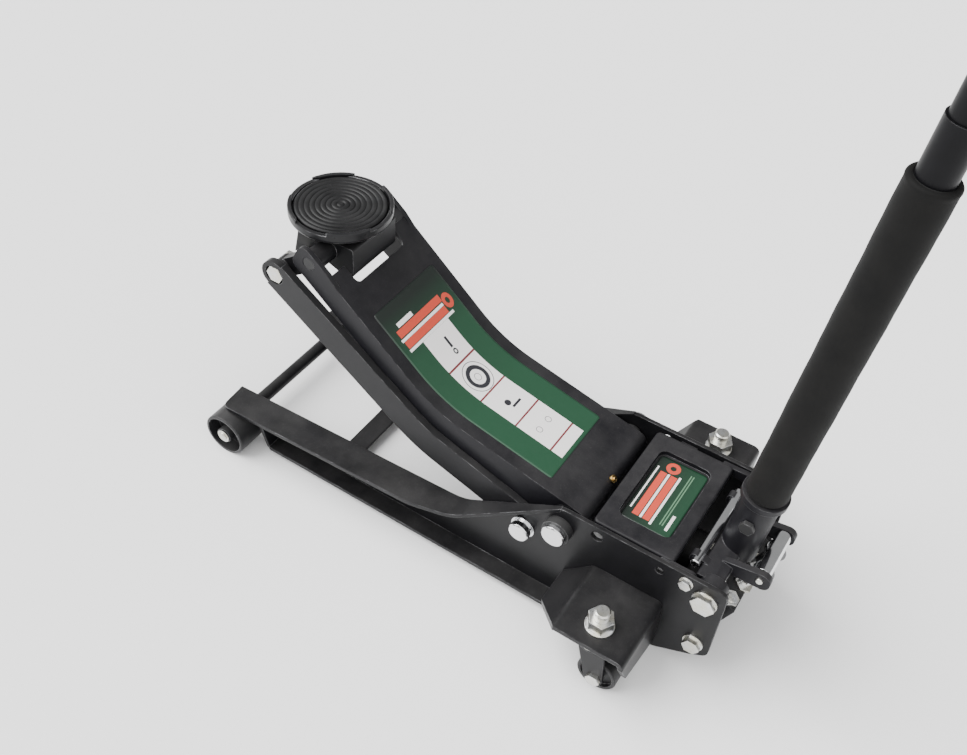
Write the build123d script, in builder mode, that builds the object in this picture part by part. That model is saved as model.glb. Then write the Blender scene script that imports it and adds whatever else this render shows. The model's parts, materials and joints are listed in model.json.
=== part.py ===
from build123d import *
import os
from math import cos, radians, sin

# Trolley jack. Millimetres, +X towards the handle, +Z up, near side is -Y.
# The origin is on the floor, under the middle of the whole jack.
# Pieces that come in pairs are drawn on the near side and mirrored.

# ---- driving dimensions ------------------------------------------------------
frame_length = 660.0        # front axle to the rear edge of the side frames
frame_width = 180.0         # over the two side frames
sheet = 5.0                 # side frame plate
plate_top = 164.0           # top of the tall rear plates
nose_top = 67.0             # top of the side frames at the nose
belly = 10.0                # underside of the side frames
flange_reach = 36.0         # top flange, outwards from the side frame
foot_reach = 23.0           # bottom flange, outwards from the side frame

arm_length = 404.0          # main pivot to arm pin
arm_rise = 28.1             # slope of that line at rest, degrees
arm_sheet = 5.0             # top plate of the lift arm
arm_side = 6.0              # side plates of the lift arm
lever_length = 50.0         # main pivot to lift pin
lever_lead = 5.6            # lever ahead of straight down at rest, degrees
link_drop_x = 44.0          # the links' pivots stand this far ahead of the arm's
link_drop_z = 31.0          # and this far below them, at both ends
link_depth = 41.0
link_thickness = 9.0

saddle_radius = 60.5
saddle_height = 21.5
pad_radius = 54.0
pad_drop = 1.5              # pad below the saddle's lugs

wheel_radius = 30.0
wheel_width = 45.0
caster_radius = 24.0
caster_width = 20.0
caster_trail = 12.0
bracket_reach = 95.0        # caster bracket, outwards from the side frame
bracket_length = 86.0
bracket_top = 100.0
bracket_sheet = 6.0
caster_nut_flats = 27.0

barrel_radius = 30.0        # hydraulic barrel
ram_radius = 15.0
block_half = 55.0           # pump block, half width
plunger_radius = 6.0
plunger_tilt = 25.0         # plungers lean to the rear, degrees
plunger_spacing = 34.0
plunger_stroke = 30.0

handle_lean = 4.8           # handle from the vertical at rest, degrees
handle_length = 1140.0      # handle pivot to the top end
lower_tube_end = 561.0      # handle pivot to the end of the lower tube
tube_radius = 17.2
tube_wall = 2.0
upper_radius = tube_radius - tube_wall - 0.1   # slides in the lower tube
upper_wall = 1.8
sleeve_length = 408.0
sleeve_radius = 23.4
grip_length = 130.0
grip_radius = 18.5
socket_radius = 21.4
socket_length = 98.0        # handle pivot to the socket's top

main_shaft_radius = 12.5
arm_pin_radius = 8.0
lift_pin_radius = 8.0
link_bolt_radius = 7.0
handle_bolt_radius = 9.0
spindle_radius = 6.0
stud_radius = 9.0

running = 0.05              # radial clearance of a pin in its bore
side_gap = 0.8              # between parts that turn beside each other
hand_gap = 1.5              # between parts that only pass each other

# ---- places, worked out from the driving dimensions --------------------------
web_out = frame_width / 2
web_in = web_out - sheet
lean = radians(handle_lean)
hinge_from_rear = 21.5
x_last = frame_length - hinge_from_rear + handle_length * sin(lean) + grip_radius * cos(lean)
axle_x = (wheel_radius - x_last) / 2
rear_x = axle_x + frame_length

main_x = rear_x - 198.0
main_z = 133.5
pin_x = main_x - arm_length * cos(radians(arm_rise))
pin_z = main_z + arm_length * sin(radians(arm_rise))
link_x = main_x - link_drop_x
link_z = main_z - link_drop_z
link_pin_x = pin_x - link_drop_x
link_pin_z = pin_z - link_drop_z
lift_pin_x = main_x - lever_length * sin(radians(lever_lead))
lift_pin_z = main_z - lever_length * cos(radians(lever_lead))

link_out = web_in - side_gap
link_in = link_out - link_thickness
arm_out = link_in - side_gap
arm_in = arm_out - arm_side
cheek_out = arm_in - side_gap

saddle_x = pin_x - 11.2
saddle_bottom = pin_z + 14.5
saddle_top = saddle_bottom + saddle_height

caster_x = rear_x - 107.0
caster_y = web_out + 65.0
bracket_front = caster_x - 41.0
bracket_back = bracket_front + bracket_length

cover_front = rear_x - 165.0
cover_back = rear_x - 67.0
cover_top = plate_top - 2.0
cover_half = web_in - 4.0

hinge_x = rear_x - hinge_from_rear
hinge_z = 139.0
yoke_out = web_in - side_gap
roller_x = hinge_x + 38.5
roller_z = hinge_z + 11.0
roller_radius = 8.5
roller_half = 31.0

ram_z = lift_pin_z + 1.5
ram_front = lift_pin_x + lift_pin_radius + hand_gap
barrel_front = rear_x - 143.0
block_front = rear_x - 60.0
block_back = rear_x - 12.0
block_top = hinge_z - 26.0
tie_x = rear_x - 19.0
tie_z = 62.0
small_bolt_x = rear_x - 46.0
small_bolt_z = 153.0


# ---- ways of working that several pieces share --------------------------------
def save(piece, name):
    piece.part.label = name
    export_step(piece.part, f"parts/{name}.step")


def pair_of(near):
    """The near piece and its mirror image as two solids."""
    with BuildPart() as pair:
        add(near.part)
        mirror(near.part, about=Plane.XZ)
    return pair


def far_of(near):
    """The mirror image of the near piece."""
    with BuildPart() as far:
        mirror(near.part, about=Plane.XZ)
    return far


def across(x, z, y=0.0):
    """The plane at y whose normal is +Y, centred on (x, z)."""
    return Plane(origin=(x, y, z), x_dir=(1, 0, 0), z_dir=(0, 1, 0))


def rod_y(x, z, start, end, radius, mode=Mode.ADD):
    """A round bar along Y."""
    with Locations(across(x, z, min(start, end))):
        Cylinder(radius, abs(end - start), align=(Align.CENTER, Align.CENTER, Align.MIN), mode=mode)


def hex_y(x, z, start, end, flats):
    """A hexagon bar along Y."""
    with BuildSketch(across(x, z, min(start, end))) as hexagon:
        RegularPolygon(flats / 2, 6, major_radius=False)
    extrude(hexagon.sketch, amount=abs(end - start))


def rod_on(plane, radius, length, mode=Mode.ADD):
    """A round bar that stands on a plane."""
    with Locations(plane):
        Cylinder(radius, length, align=(Align.CENTER, Align.CENTER, Align.MIN), mode=mode)


def rounded(corners, close=True):
    """The line through (u, v, radius) corners."""
    points = [(u, v) for u, v, radius in corners]
    radii = [radius for u, v, radius in corners]
    FilletPolyline(*points, radius=radii if close else radii[1:-1], close=close)


def slab_y(corners, start, end, mode=Mode.ADD):
    """An outline of (x, z, radius) corners, as thick as start to end along Y."""
    with BuildSketch(Plane.XZ.offset(-max(start, end))) as outline:
        with BuildLine():
            rounded(corners)
        make_face()
    extrude(outline.sketch, amount=abs(end - start), mode=mode)


def slab_z(corners, bottom, top, mode=Mode.ADD):
    """An outline of (x, y, radius) corners, as thick as bottom to top along Z."""
    with BuildSketch(Plane.XY.offset(bottom)) as outline:
        with BuildLine():
            rounded(corners)
        make_face()
    extrude(outline.sketch, amount=top - bottom, mode=mode)


def strip_y(corners, thickness, half):
    """A bent strip along (x, z, radius) corners, as wide as two halves along Y."""
    with BuildSketch(Plane.XZ) as section:
        with BuildLine():
            rounded(corners, close=False)
        trace(line_width=thickness)
    extrude(section.sketch, amount=half, both=True)


# ---- side frames ----------------------------------------------------------------
nose_x = axle_x - 14.0
ramp_foot_x = main_x - 128.0
ramp_head_x = main_x - 2.0
foot_front = axle_x + 45.0
foot_back = bracket_front - 14.0


def frame_line(drop):
    """The side frame's top line from the nose to the ramp's head."""
    return [
        (nose_x, nose_top - drop, 0),
        (ramp_foot_x, nose_top + 17.5 - drop, 60),
        (ramp_head_x, plate_top - drop, 0),
    ]


def top_flange():
    reach = web_out + flange_reach
    with BuildPart() as flange:
        slab_y(frame_line(0) + [(ramp_head_x, 0, 0), (nose_x, 0, 0)], -web_in, -reach)
        past = ramp_head_x + 1
        under = frame_line(sheet)[:2] + [(ramp_head_x, plate_top - sheet, 0), (past, plate_top - sheet, 0)]
        under += [(past, -1, 0), (nose_x - 1, -1, 0), (nose_x - 1, nose_top - sheet, 0)]
        slab_y(under[1:] + under[:1], -web_in + 1, -reach - 1, mode=Mode.SUBTRACT)
        slab_z(
            [
                (nose_x, -web_in, 0),
                (nose_x + 3, -reach, 10),
                (axle_x + 280, -reach, 90),
                (ramp_head_x, -web_out - 0.5, 0),
                (ramp_head_x, -web_in, 0),
            ],
            0,
            plate_top + 1,
            mode=Mode.INTERSECT,
        )
    return flange


def side_frame():
    flange = top_flange()
    lobe = bracket_back + 1.0
    foot_out = web_out + foot_reach
    gusset_top = nose_top - 3.0
    with BuildPart() as frame:
        slab_y(
            [
                (nose_x, nose_top, 0),
                (ramp_foot_x, nose_top + 17.5, 60),
                (ramp_head_x, plate_top, 25),
                (rear_x, plate_top, 10),
                (rear_x, 50, 12),
                (lobe + 42, 37, 30),
                (lobe, 15, 30),
                (lobe - 30, belly, 30),
                (axle_x + 14, belly, 18),
                (nose_x, wheel_radius + 10, 10),
            ],
            -web_in,
            -web_out,
        )
        add(flange.part)
        slab_z(
            [
                (foot_front, -web_in, 0),
                (foot_front, -foot_out, 8),
                (foot_back, -foot_out, 8),
                (foot_back, -web_in, 0),
            ],
            belly,
            belly + sheet,
        )
        with BuildSketch(Plane.YZ.offset(foot_front)):
            Polygon(
                (-web_in, belly + 1),
                (-foot_out + 2, belly + 1),
                (-web_out - flange_reach + 4, gusset_top),
                (-web_in, gusset_top),
                align=None,
            )
        extrude(amount=sheet)
        bores = [
            (main_x, main_z, main_shaft_radius + running),
            (link_x, link_z, link_bolt_radius + running),
            (hinge_x, hinge_z, handle_bolt_radius + running),
            (tie_x, tie_z, 6.0 + running),
            (axle_x, wheel_radius, spindle_radius + running),
            (small_bolt_x, small_bolt_z, 4.0 + running),
            (rear_x - 153.0, 150.0, 7.0),
            (rear_x - 77.0, 149.0, 5.0),
        ]
        for x, z, radius in bores:
            rod_y(x, z, -web_out - 1, -web_in + 1, radius, mode=Mode.SUBTRACT)
    return frame


# ---- rear caster brackets --------------------------------------------------------
def at_caster(z):
    return Plane(origin=(caster_x, -caster_y, z))


def caster_bracket():
    mid = bracket_top - bracket_sheet / 2
    back = bracket_back - bracket_sheet / 2
    reach = web_out + bracket_reach
    toe_x = bracket_front - 35.0
    with BuildPart() as bracket:
        with BuildSketch(Plane.XZ.offset(web_out)):
            with BuildLine():
                rounded([(toe_x, 60, 0), (bracket_front, mid, 6), (back, mid, 6), (back, 23, 0)], close=False)
            trace(line_width=bracket_sheet)
        extrude(amount=bracket_reach)
        slab_z(
            [
                (bracket_front, -reach, 0),
                (toe_x - 5, -reach + 50, 0),
                (toe_x - 5, -reach - 1, 0),
                (bracket_front, -reach - 1, 0),
            ],
            0,
            bracket_top + 1,
            mode=Mode.SUBTRACT,
        )
        with BuildSketch(Plane.YZ.offset(back - bracket_sheet)):
            Polygon(
                (-reach - 1, bracket_top - bracket_sheet - 5),
                (-reach, bracket_top - bracket_sheet - 5),
                (-reach + 21, 47),
                (-web_out, 23),
                (-web_out, 0),
                (-reach - 1, 0),
                align=None,
            )
        extrude(amount=2 * bracket_sheet, mode=Mode.SUBTRACT)
        rod_on(at_caster(0), stud_radius + running, bracket_top + 1, mode=Mode.SUBTRACT)
    return bracket


# ---- rear casters ----------------------------------------------------------------
race_height = 9.0
race_bottom = bracket_top - bracket_sheet - race_height
fork_sheet = 4.0
fork_top = race_bottom - 0.5
fork_gap = 1.2
caster_axle_radius = 5.0
caster_wheel_x = caster_x + caster_trail


def caster_stud():
    foot = fork_top - fork_sheet - 0.5
    with BuildPart() as stud:
        rod_on(at_caster(foot - 5), caster_width / 2 + fork_gap - 0.6, 5.0)
        rod_on(at_caster(foot - 5), stud_radius, bracket_top + 28 - foot + 5)
        chamfer(stud.faces().sort_by(Axis.Z)[-1].edges(), 1.5)
    return stud


def caster_nut():
    with BuildPart() as nut:
        rod_on(at_caster(bracket_top), 16.5, 2.4)
        with BuildSketch(at_caster(bracket_top + 2.4)):
            RegularPolygon(caster_nut_flats / 2, 6, major_radius=False)
        extrude(amount=14)
        rod_on(at_caster(bracket_top - 1), stud_radius, 20, mode=Mode.SUBTRACT)
    return nut


def caster_race():
    inner = stud_radius + running
    with BuildPart() as race:
        with BuildSketch(Plane(origin=(caster_x, -caster_y, 0), x_dir=(1, 0, 0), z_dir=(0, -1, 0))):
            Polygon(
                (inner, race_bottom + race_height),
                (25, race_bottom + race_height),
                (25, race_bottom),
                (22.5, race_bottom),
                (20, race_bottom + 5),
                (inner, race_bottom + 5),
                align=None,
            )
        revolve(axis=Axis((caster_x, -caster_y, 0), (0, 0, 1)))
    return race


def caster_fork():
    leg_in = caster_width / 2 + fork_gap
    with BuildPart() as fork:
        rod_on(at_caster(fork_top - fork_sheet), 24.0, fork_sheet)
        for side in (-1, 1):
            y = -caster_y + side * leg_in
            slab_y(
                [
                    (caster_x - 17, fork_top - 1, 0),
                    (caster_x + 17, fork_top - 1, 0),
                    (caster_wheel_x + 11, caster_radius - 10, 9),
                    (caster_wheel_x - 11, caster_radius - 10, 9),
                ],
                y,
                y + side * fork_sheet,
            )
        rod_on(at_caster(0), stud_radius + running, fork_top + 1, mode=Mode.SUBTRACT)
        rod_y(
            caster_wheel_x,
            caster_radius,
            -caster_y - 2 * leg_in,
            -caster_y + 2 * leg_in,
            caster_axle_radius,
            mode=Mode.SUBTRACT,
        )
    return fork


def caster_axle():
    reach = caster_width / 2 + fork_gap + fork_sheet
    with BuildPart() as axle:
        rod_y(caster_wheel_x, caster_radius, -caster_y - reach, -caster_y + reach, caster_axle_radius)
        hex_y(caster_wheel_x, caster_radius, -caster_y - reach, -caster_y - reach - 5, 15.0)
        hex_y(caster_wheel_x, caster_radius, -caster_y + reach, -caster_y + reach + 5, 15.0)
    return axle


def turned_wheel(x, y, z, radius, width, rim, dish, hub, bore):
    """A dished wheel about Y: a rim, a disc set back from both faces and a hub."""
    half = width / 2
    edge = 1.2
    with BuildPart() as wheel:
        with BuildSketch(Plane(origin=(x, y, z), x_dir=(0, 0, 1), z_dir=(1, 0, 0))):
            Polygon(
                (bore, -half),
                (hub, -half),
                (hub, -dish),
                (radius - rim, -dish),
                (radius - rim, -half),
                (radius - edge, -half),
                (radius, -half + edge),
                (radius, half - edge),
                (radius - edge, half),
                (radius - rim, half),
                (radius - rim, dish),
                (hub, dish),
                (hub, half),
                (bore, half),
                align=None,
            )
        revolve(axis=Axis((x, y, z), (0, 1, 0)))
    return wheel


def caster_wheel():
    return turned_wheel(
        caster_wheel_x, -caster_y, caster_radius, caster_radius, caster_width, 4.5, 5.0, 9.0,
        caster_axle_radius + running,
    )


# ---- front axle and wheels --------------------------------------------------------
wheel_in = web_out + 6.0
wheel_out = wheel_in + wheel_width
clip_y = wheel_out + 1.2
clip_half = 0.6
cross_rod_x = axle_x - 4.0


def front_wheel():
    middle = -(wheel_in + wheel_out) / 2
    wheel = turned_wheel(
        axle_x, middle, wheel_radius, wheel_radius, wheel_width, 3.8, 4.0, 10.5, spindle_radius + running
    )
    with BuildPart() as spoked:
        add(wheel.part)
        with BuildSketch(across(axle_x, wheel_radius, -wheel_out)):
            with PolarLocations((10.5 + wheel_radius - 3.8) / 2, 4, start_angle=45):
                Circle(4.8)
        extrude(amount=wheel_width, mode=Mode.SUBTRACT)
    return spoked


def wheel_spindle():
    with BuildPart() as spindle:
        rod_y(axle_x, wheel_radius, -web_in, -wheel_out - 4, spindle_radius)
        rod_y(axle_x, wheel_radius, -web_out, -wheel_in + 0.4, 10.0)
        chamfer(spindle.faces().sort_by(Axis.Y)[0].edges(), 1.2)
        with BuildSketch(across(axle_x, wheel_radius, -clip_y - clip_half)):
            Circle(spindle_radius + 1)
            Circle(spindle_radius - 1, mode=Mode.SUBTRACT)
        extrude(amount=2 * clip_half, mode=Mode.SUBTRACT)
    return spindle


def spindle_clip():
    with BuildPart() as clip:
        rod_y(axle_x, wheel_radius, -clip_y - clip_half + 0.1, -clip_y + clip_half - 0.1, 9.0)
        rod_y(axle_x, wheel_radius, -clip_y - 2, -clip_y + 2, spindle_radius - 0.9, mode=Mode.SUBTRACT)
    return clip


def front_cross_rod():
    neck = link_in - 3.0
    with BuildPart() as rod:
        rod_y(cross_rod_x, wheel_radius, -web_in, web_in, 5.5)
        rod_y(cross_rod_x, wheel_radius, -neck, neck, 8.5)
        chamfer(rod.edges().filter_by(GeomType.CIRCLE).group_by(SortBy.RADIUS)[-1], 1.5)
    return rod


def front_cross_bar():
    with BuildPart() as bar:
        with Locations((axle_x + 141, 0, belly + 0.2)):
            Box(27, 2 * web_in, 3.4, align=(Align.CENTER, Align.CENTER, Align.MIN))
        fillet(bar.edges().filter_by(Axis.Y), 1.2)
    return bar


# ---- main pivot and link pivots ------------------------------------------------------
collar_out = web_out + 11.0
cap_out = web_out + 18.0


def main_shaft():
    with BuildPart() as shaft:
        rod_y(main_x, main_z, -collar_out, collar_out, main_shaft_radius)
        rod_y(main_x, main_z, -collar_out, -web_out, 17.0)
        rod_y(main_x, main_z, web_out, collar_out, 17.0)
    return shaft


def main_shaft_cap():
    with BuildPart() as cap:
        rod_y(main_x, main_z, -cap_out, -collar_out, 14.5)
        chamfer(cap.faces().sort_by(Axis.Y)[0].edges(), 1.4)
    return cap


def link_pivot_bolt():
    with BuildPart() as bolt:
        rod_y(link_x, link_z, -link_in, -web_out - 6, link_bolt_radius)
        rod_y(link_x, link_z, -web_out, -web_out - 3, 15.0)
        rod_y(link_x, link_z, -web_out - 3, -web_out - 6, 12.0)
        rod_y(link_x, link_z, -web_out - 6, -web_out - 14, 13.0)
        chamfer(bolt.faces().sort_by(Axis.Y)[0].edges(), 1.4)
    return bolt


# ---- lift arm ---------------------------------------------------------------------------
arm_nose_x = pin_x + 25.3
arm_nose_z = pin_z - 10.0
arm_bend_x = main_x - 184.0
arm_bend_z = main_z + 59.5
arm_tail_x = main_x + 21.0
arm_tail_z = main_z + 14.5
arm_bend_radius = 180.0
hub_radius = 26.0
pivot_tube_radius = 19.0
notch_half = 45.0
ear_merge_x = pin_x + 50.0
front_slope = (arm_bend_z - arm_nose_z) / (arm_bend_x - arm_nose_x)
ear_merge_z = arm_nose_z + front_slope * (ear_merge_x - arm_nose_x)


def lift_arm():
    with BuildPart() as arm:
        strip_y(
            [
                (arm_nose_x, arm_nose_z, 0),
                (arm_bend_x, arm_bend_z, arm_bend_radius),
                (arm_tail_x, arm_tail_z, 13),
                (arm_tail_x + 4, main_z - 13.5, 0),
            ],
            arm_sheet,
            arm_out,
        )
        slab_z(
            [
                (arm_nose_x - 20, -notch_half, 0),
                (arm_nose_x + 21, -notch_half, 6),
                (arm_nose_x + 21, notch_half, 6),
                (arm_nose_x - 20, notch_half, 0),
            ],
            pin_z - 60,
            pin_z + 20,
            mode=Mode.SUBTRACT,
        )
        for side in (-1, 1):
            with BuildSketch(Plane.XZ.offset(-max(side * arm_in, side * arm_out))):
                with BuildLine():
                    rounded([
                        (pin_x - 9, pin_z + 25, 11),
                        (pin_x + 27, pin_z - 4, 12),
                        (ear_merge_x, ear_merge_z, 0),
                        (arm_bend_x, arm_bend_z, 150),
                        (arm_tail_x, arm_tail_z, 13),
                        (arm_tail_x + 4, main_z - hub_radius, 20),
                        (main_x - 16, main_z - hub_radius, 30),
                        (arm_bend_x - 18, arm_bend_z - 26, 130),
                        (pin_x - 12, pin_z - 18, 8),
                        (pin_x - 26, pin_z - 8, 12),
                    ])
                make_face()
            extrude(amount=arm_side)
        rod_y(pin_x, pin_z, -arm_out - 1, arm_out + 1, arm_pin_radius, mode=Mode.SUBTRACT)
        rod_y(main_x, main_z, -arm_out - 1, arm_out + 1, pivot_tube_radius, mode=Mode.SUBTRACT)
        with Locations(nipple_plane()):
            Cylinder(3.5, 20, mode=Mode.SUBTRACT)
    return arm


def arm_pivot_tube():
    with BuildPart() as tube:
        rod_y(main_x, main_z, -arm_out, arm_out, pivot_tube_radius)
        rod_y(main_x, main_z, -arm_out, arm_out, main_shaft_radius + running, mode=Mode.SUBTRACT)
    return tube


def nipple_plane():
    """Where the grease nipple stands on the pivot tube, facing up and to the rear."""
    out = Vector(sin(radians(52)), 0, cos(radians(52)))
    foot = Vector(main_x, -7, main_z) + out * (pivot_tube_radius - 0.4)
    return Plane(origin=foot, z_dir=out)


def grease_nipple():
    with BuildPart() as nipple:
        rod_on(nipple_plane(), 3.4, 7.4)
        rod_on(nipple_plane().offset(7.4), 4.8, 2.4)
        rod_on(nipple_plane().offset(9.8), 2.4, 2.0)
        rod_y(main_x, main_z, -20, 0, pivot_tube_radius, mode=Mode.SUBTRACT)
    return nipple


lever_in = 24.0
lever_out = 32.0


def arm_lever():
    """The pair of plates under the pivot tube that the ram pushes through the lift pin."""
    with BuildPart() as levers:
        for side in (-1, 1):
            slab_y(
                [
                    (main_x - 22, main_z - 4, 6),
                    (main_x + 22, main_z - 4, 6),
                    (lift_pin_x + 15, lift_pin_z - 15, 14),
                    (lift_pin_x - 15, lift_pin_z - 15, 14),
                ],
                side * lever_in,
                side * lever_out,
            )
        rod_y(main_x, main_z, -lever_out, lever_out, pivot_tube_radius, mode=Mode.SUBTRACT)
        rod_y(lift_pin_x, lift_pin_z, -lever_out, lever_out, lift_pin_radius, mode=Mode.SUBTRACT)
    return levers


def lift_pin():
    with BuildPart() as pin:
        rod_y(lift_pin_x, lift_pin_z, -lever_out - 4, lever_out + 4, lift_pin_radius)
        chamfer(pin.faces().filter_by(Axis.Y).edges(), 1.0)
    return pin


def arm_pin():
    with BuildPart() as pin:
        rod_y(pin_x, pin_z, -arm_out, arm_out, arm_pin_radius)
        chamfer(pin.faces().filter_by(Axis.Y).edges(), 0.8)
    return pin


# ---- parallel links -------------------------------------------------------------------
head_seat = link_out - 5.9     # the pins' heads are sunk, to pass inside the side frames
link_bend_x = pin_x + 162.0
link_bend_z = link_z + 47.5


def parallel_link():
    with BuildPart() as link:
        with BuildSketch(Plane.XZ.offset(link_in)):
            with BuildLine():
                rounded(
                    [(link_pin_x, link_pin_z, 0), (link_bend_x, link_bend_z, 170), (link_x, link_z, 0)],
                    close=False,
                )
            trace(line_width=link_depth)
            with Locations((link_pin_x, link_pin_z)):
                Circle(18)
            with Locations((link_x, link_z)):
                Circle(link_depth / 2)
        extrude(amount=link_thickness)
        for x, z in ((link_pin_x, link_pin_z), (link_x, link_z)):
            rod_y(x, z, -link_in + 1, -link_out - 1, link_bolt_radius + running, mode=Mode.SUBTRACT)
        rod_y(link_pin_x, link_pin_z, -head_seat, -link_out - 1, 12.4, mode=Mode.SUBTRACT)
    return link


# ---- saddle, its pad and its bracket ---------------------------------------------------
bracket_tube_radius = 13.0
ear_out = arm_out + 0.4
ear_in = 55.0
spigot_radius = 20.0
spigot_height = 8.5
cup_rim = 5.0
cup_floor = saddle_top - 8.4
lug_height = 3.5


def saddle_bracket():
    with BuildPart() as bracket:
        rod_y(pin_x, pin_z, -cheek_out, cheek_out, bracket_tube_radius)
        slab_y(
            [
                (saddle_x - 30, saddle_bottom - 0.6, 3),
                (pin_x + 36, saddle_bottom - 0.6, 3),
                (pin_x + 36, pin_z - 24, 3),
                (pin_x + 16, pin_z - 26, 4),
                (pin_x - 10, pin_z - 16, 6),
                (link_pin_x + 8, link_pin_z - 10, 6),
                (link_pin_x - 6, link_pin_z + 2, 8),
            ],
            -40,
            40,
        )
        for side in (-1, 1):
            slab_y(
                [
                    (pin_x - 2, pin_z + 13, 4),
                    (pin_x + 8, pin_z - 10, 4),
                    (link_pin_x + 4, link_pin_z - 12, 6),
                    (link_pin_x - 12, link_pin_z + 4, 6),
                ],
                side * ear_in,
                side * cheek_out,
            )
            rod_y(link_pin_x, link_pin_z, side * ear_in, side * ear_out, 12.0)
        rod_on(Plane((saddle_x, 0, saddle_bottom - 1)), spigot_radius, spigot_height + 1)
        rod_y(pin_x, pin_z, -cheek_out - 1, cheek_out + 1, arm_pin_radius + running, mode=Mode.SUBTRACT)
        rod_y(link_pin_x, link_pin_z, -ear_out - 1, ear_out + 1, link_bolt_radius + running, mode=Mode.SUBTRACT)
        rod_on(Plane((saddle_x, 0, saddle_bottom - 4)), 3.0, 30, mode=Mode.SUBTRACT)
    return bracket


def link_pin():
    with BuildPart() as pin:
        rod_y(link_pin_x, link_pin_z, -head_seat, -ear_in + 7, link_bolt_radius)
        hex_y(link_pin_x, link_pin_z, -head_seat, -link_out + 0.4, 20.0)
    return pin


def link_pin_nut():
    with BuildPart() as nut:
        hex_y(link_pin_x, link_pin_z, -ear_in, -ear_in + 6, 22.0)
        rod_y(link_pin_x, link_pin_z, -ear_in, -ear_in + 6, link_bolt_radius, mode=Mode.SUBTRACT)
    return nut


def saddle_cup():
    outer = saddle_radius
    inner = saddle_radius - cup_rim
    rim_top = saddle_top - lug_height
    with BuildPart() as cup:
        with BuildSketch(Plane.XZ):
            with BuildLine():
                rounded([
                    (saddle_x, saddle_bottom, 0),
                    (saddle_x + 36, saddle_bottom, 6),
                    (saddle_x + outer, saddle_bottom + 8, 6),
                    (saddle_x + outer, saddle_top, 1.5),
                    (saddle_x + inner, saddle_top, 1.0),
                    (saddle_x + inner, cup_floor, 0),
                    (saddle_x, cup_floor, 0),
                ])
            make_face()
        revolve(axis=Axis((saddle_x, 0, 0), (0, 0, 1)))
        with BuildSketch(Plane((saddle_x, 0, rim_top))):
            Circle(outer + 1)
            Circle(inner - 0.1, mode=Mode.SUBTRACT)
            with PolarLocations(outer, 4, start_angle=47):
                Rectangle(3 * cup_rim, 50, mode=Mode.SUBTRACT)
        extrude(amount=2 * lug_height, mode=Mode.SUBTRACT)
        rod_on(
            Plane((saddle_x, 0, saddle_bottom - 1)),
            spigot_radius + running,
            spigot_height + 1 + 0.5,
            mode=Mode.SUBTRACT,
        )
        rod_on(Plane((saddle_x, 0, saddle_bottom)), 3.5, 30, mode=Mode.SUBTRACT)
    return cup


def saddle_screw():
    head = 2.4
    with BuildPart() as screw:
        rod_on(Plane((saddle_x, 0, saddle_bottom - 2)), 3.0, cup_floor + 0.2 - saddle_bottom + 2)
        rod_on(Plane((saddle_x, 0, cup_floor + 0.2)), 8.0, head)
    return screw


def saddle_pad():
    bottom = cup_floor
    with BuildPart() as pad:
        rod_on(Plane((saddle_x, 0, bottom)), pad_radius, saddle_top - pad_drop - bottom)
        fillet(pad.faces().sort_by(Axis.Z)[-1].edges(), 1.5)
        rod_on(Plane((saddle_x, 0, bottom - 1)), 9.0, 4.6, mode=Mode.SUBTRACT)
    return pad


# ---- hydraulic unit ---------------------------------------------------------------------
head_thickness = 12.0
head_half = lever_in - 2.0


def along_ram(x, z=None):
    """The plane at x whose normal is +X, centred on the ram."""
    return Plane(origin=(x, 0, ram_z if z is None else z), x_dir=(0, 1, 0), z_dir=(1, 0, 0))


lean_rear = radians(plunger_tilt)
plunger_up = Vector(sin(lean_rear), 0, cos(lean_rear))
plunger_side = Vector(cos(lean_rear), 0, -sin(lean_rear))
plunger_top = roller_radius + 0.5
mouth_depth = plunger_top + 6.0 + plunger_stroke + 5.0


def on_plunger(depth, y, aside=4.0):
    """A plane across the plungers' direction, at a depth below the roller's centre."""
    foot = Vector(roller_x, y, roller_z) - plunger_up * depth + plunger_side * aside
    return Plane(origin=foot, x_dir=(0, 1, 0), z_dir=plunger_up)


def pump_block():
    lip = Vector(roller_x, 0, roller_z) - plunger_up * mouth_depth
    rear_lip = lip + plunger_side * 12
    front_lip = lip - plunger_side * 20
    with BuildPart() as block:
        slab_y(
            [
                (block_front, 32, 3),
                (block_back, 32, 6),
                (block_back + 7, 70, 30),
                (rear_lip.X, rear_lip.Z, 2),
                (front_lip.X, front_lip.Z, 2),
                (block_front + 20, block_top, 3),
                (block_front, block_top, 3),
            ],
            -block_half,
            block_half,
        )
        rod_y(tie_x, tie_z, -web_in, web_in, 14.0)
        for y in (-plunger_spacing / 2, plunger_spacing / 2):
            rod_on(
                on_plunger(mouth_depth + plunger_stroke + 24, y),
                plunger_radius + running,
                plunger_stroke + 40,
                mode=Mode.SUBTRACT,
            )
        for side in (-1, 1):
            rod_y(tie_x, tie_z, side * (web_in - 22), side * web_out, 6.0, mode=Mode.SUBTRACT)
        rod_on(Plane(valve_origin), 5.0 + running, 60, mode=Mode.SUBTRACT)
    return block


def hydraulic_barrel():
    with BuildPart() as barrel:
        rod_on(along_ram(barrel_front), barrel_radius, block_front - barrel_front)
        rod_on(along_ram(barrel_front - 0.1), ram_radius + running, block_front - barrel_front, mode=Mode.SUBTRACT)
        fillet(barrel.edges().filter_by(GeomType.CIRCLE).group_by(Axis.X)[0].sort_by(SortBy.RADIUS)[-1], 3)
    return barrel


def ram_rod():
    rear_end = ram_front + head_thickness + 75.0
    with BuildPart() as rod:
        rod_on(along_ram(ram_front + head_thickness), ram_radius, rear_end - ram_front - head_thickness)
        chamfer(rod.faces().sort_by(Axis.X)[-1].edges(), 1.5)
    return rod


def ram_head():
    with BuildPart() as head:
        slab_y(
            [
                (ram_front, ram_z - 20, 3),
                (ram_front + head_thickness, ram_z - 20, 3),
                (ram_front + head_thickness, ram_z + 14.5, 3),
                (ram_front, ram_z + 14.5, 3),
            ],
            -head_half,
            head_half,
        )
    return head


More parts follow.
